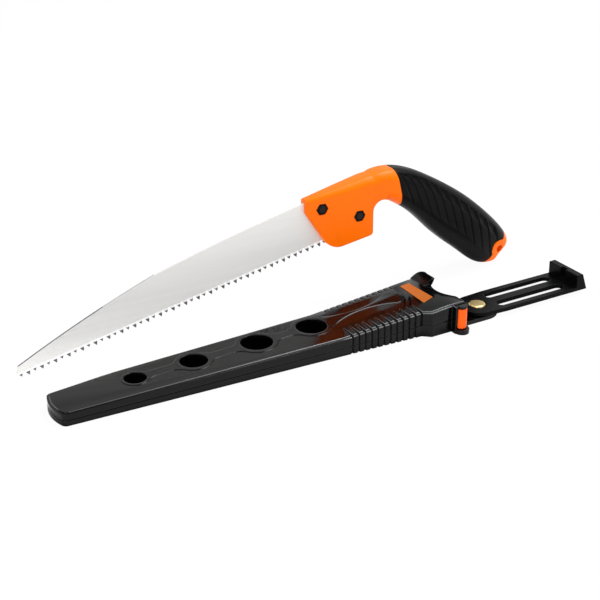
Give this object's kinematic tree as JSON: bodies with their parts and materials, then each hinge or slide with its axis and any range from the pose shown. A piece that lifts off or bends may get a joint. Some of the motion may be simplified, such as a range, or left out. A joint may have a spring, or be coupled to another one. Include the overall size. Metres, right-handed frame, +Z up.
{
  "type": "pruning saw with belt scabbard",
  "caption": "Fixed-blade pruning saw with a pistol-bent handle, and its flat belt scabbard with a guide roller at the mouth and a swivelling belt hanger",
  "frame": {"origin": "on the scabbard's flat back, half way along the scabbard body, under the row of drain holes", "axes": "+X from the scabbard's tip to its mouth, +Y towards the standing saw and away from the guide roller, +Z up from the surface both lie on"},
  "size_m": [0.415, 0.1115, 0.0952],
  "materials": {
    "blade_steel": "hard-chromed saw steel, fine satin, ground teeth",
    "orange_plastic": "moulded orange nylon, soft gloss",
    "grip_rubber": "black thermoplastic rubber with a scale pattern",
    "black_steel": "black oxide on steel",
    "scabbard_plastic": "black moulded plastic, glossy top",
    "pin_steel": "bare turned steel",
    "rivet_brass": "bare brass, polished head"
  },
  "bodies": {
    "scabbard": {"front_shell": "scabbard_plastic", "back_shell": "scabbard_plastic", "roller_pin": "pin_steel", "hanger_rivet": "rivet_brass", "rivet_washer": "pin_steel"},
    "roller": {"guide_roller": "orange_plastic"},
    "hanger": {"belt_hanger": "scabbard_plastic"},
    "saw": {"blade": "blade_steel", "handle_core": "orange_plastic", "grip_sleeve": "grip_rubber", "front_bolt": "black_steel", "rear_bolt": "black_steel", "front_nut": "black_steel", "rear_nut": "black_steel"}
  },
  "joints": [
    {"name": "roller_spin", "type": "hinge", "parent": "scabbard", "child": "roller", "pos_m": [0.1477, -0.039, 0.01035], "axis": [0, 0, 1], "continuous": true},
    {"name": "hanger_swivel", "type": "hinge", "parent": "scabbard", "child": "hanger", "pos_m": [0.177, -0.0193, 0.0048], "axis": [0, 0, 1], "range_deg": [-90, 25]},
    {"name": "saw_lift", "type": "slide", "parent": "scabbard", "child": "saw", "axis": [0, 0, 1], "range_m": [0, 0.15]}
  ]
}
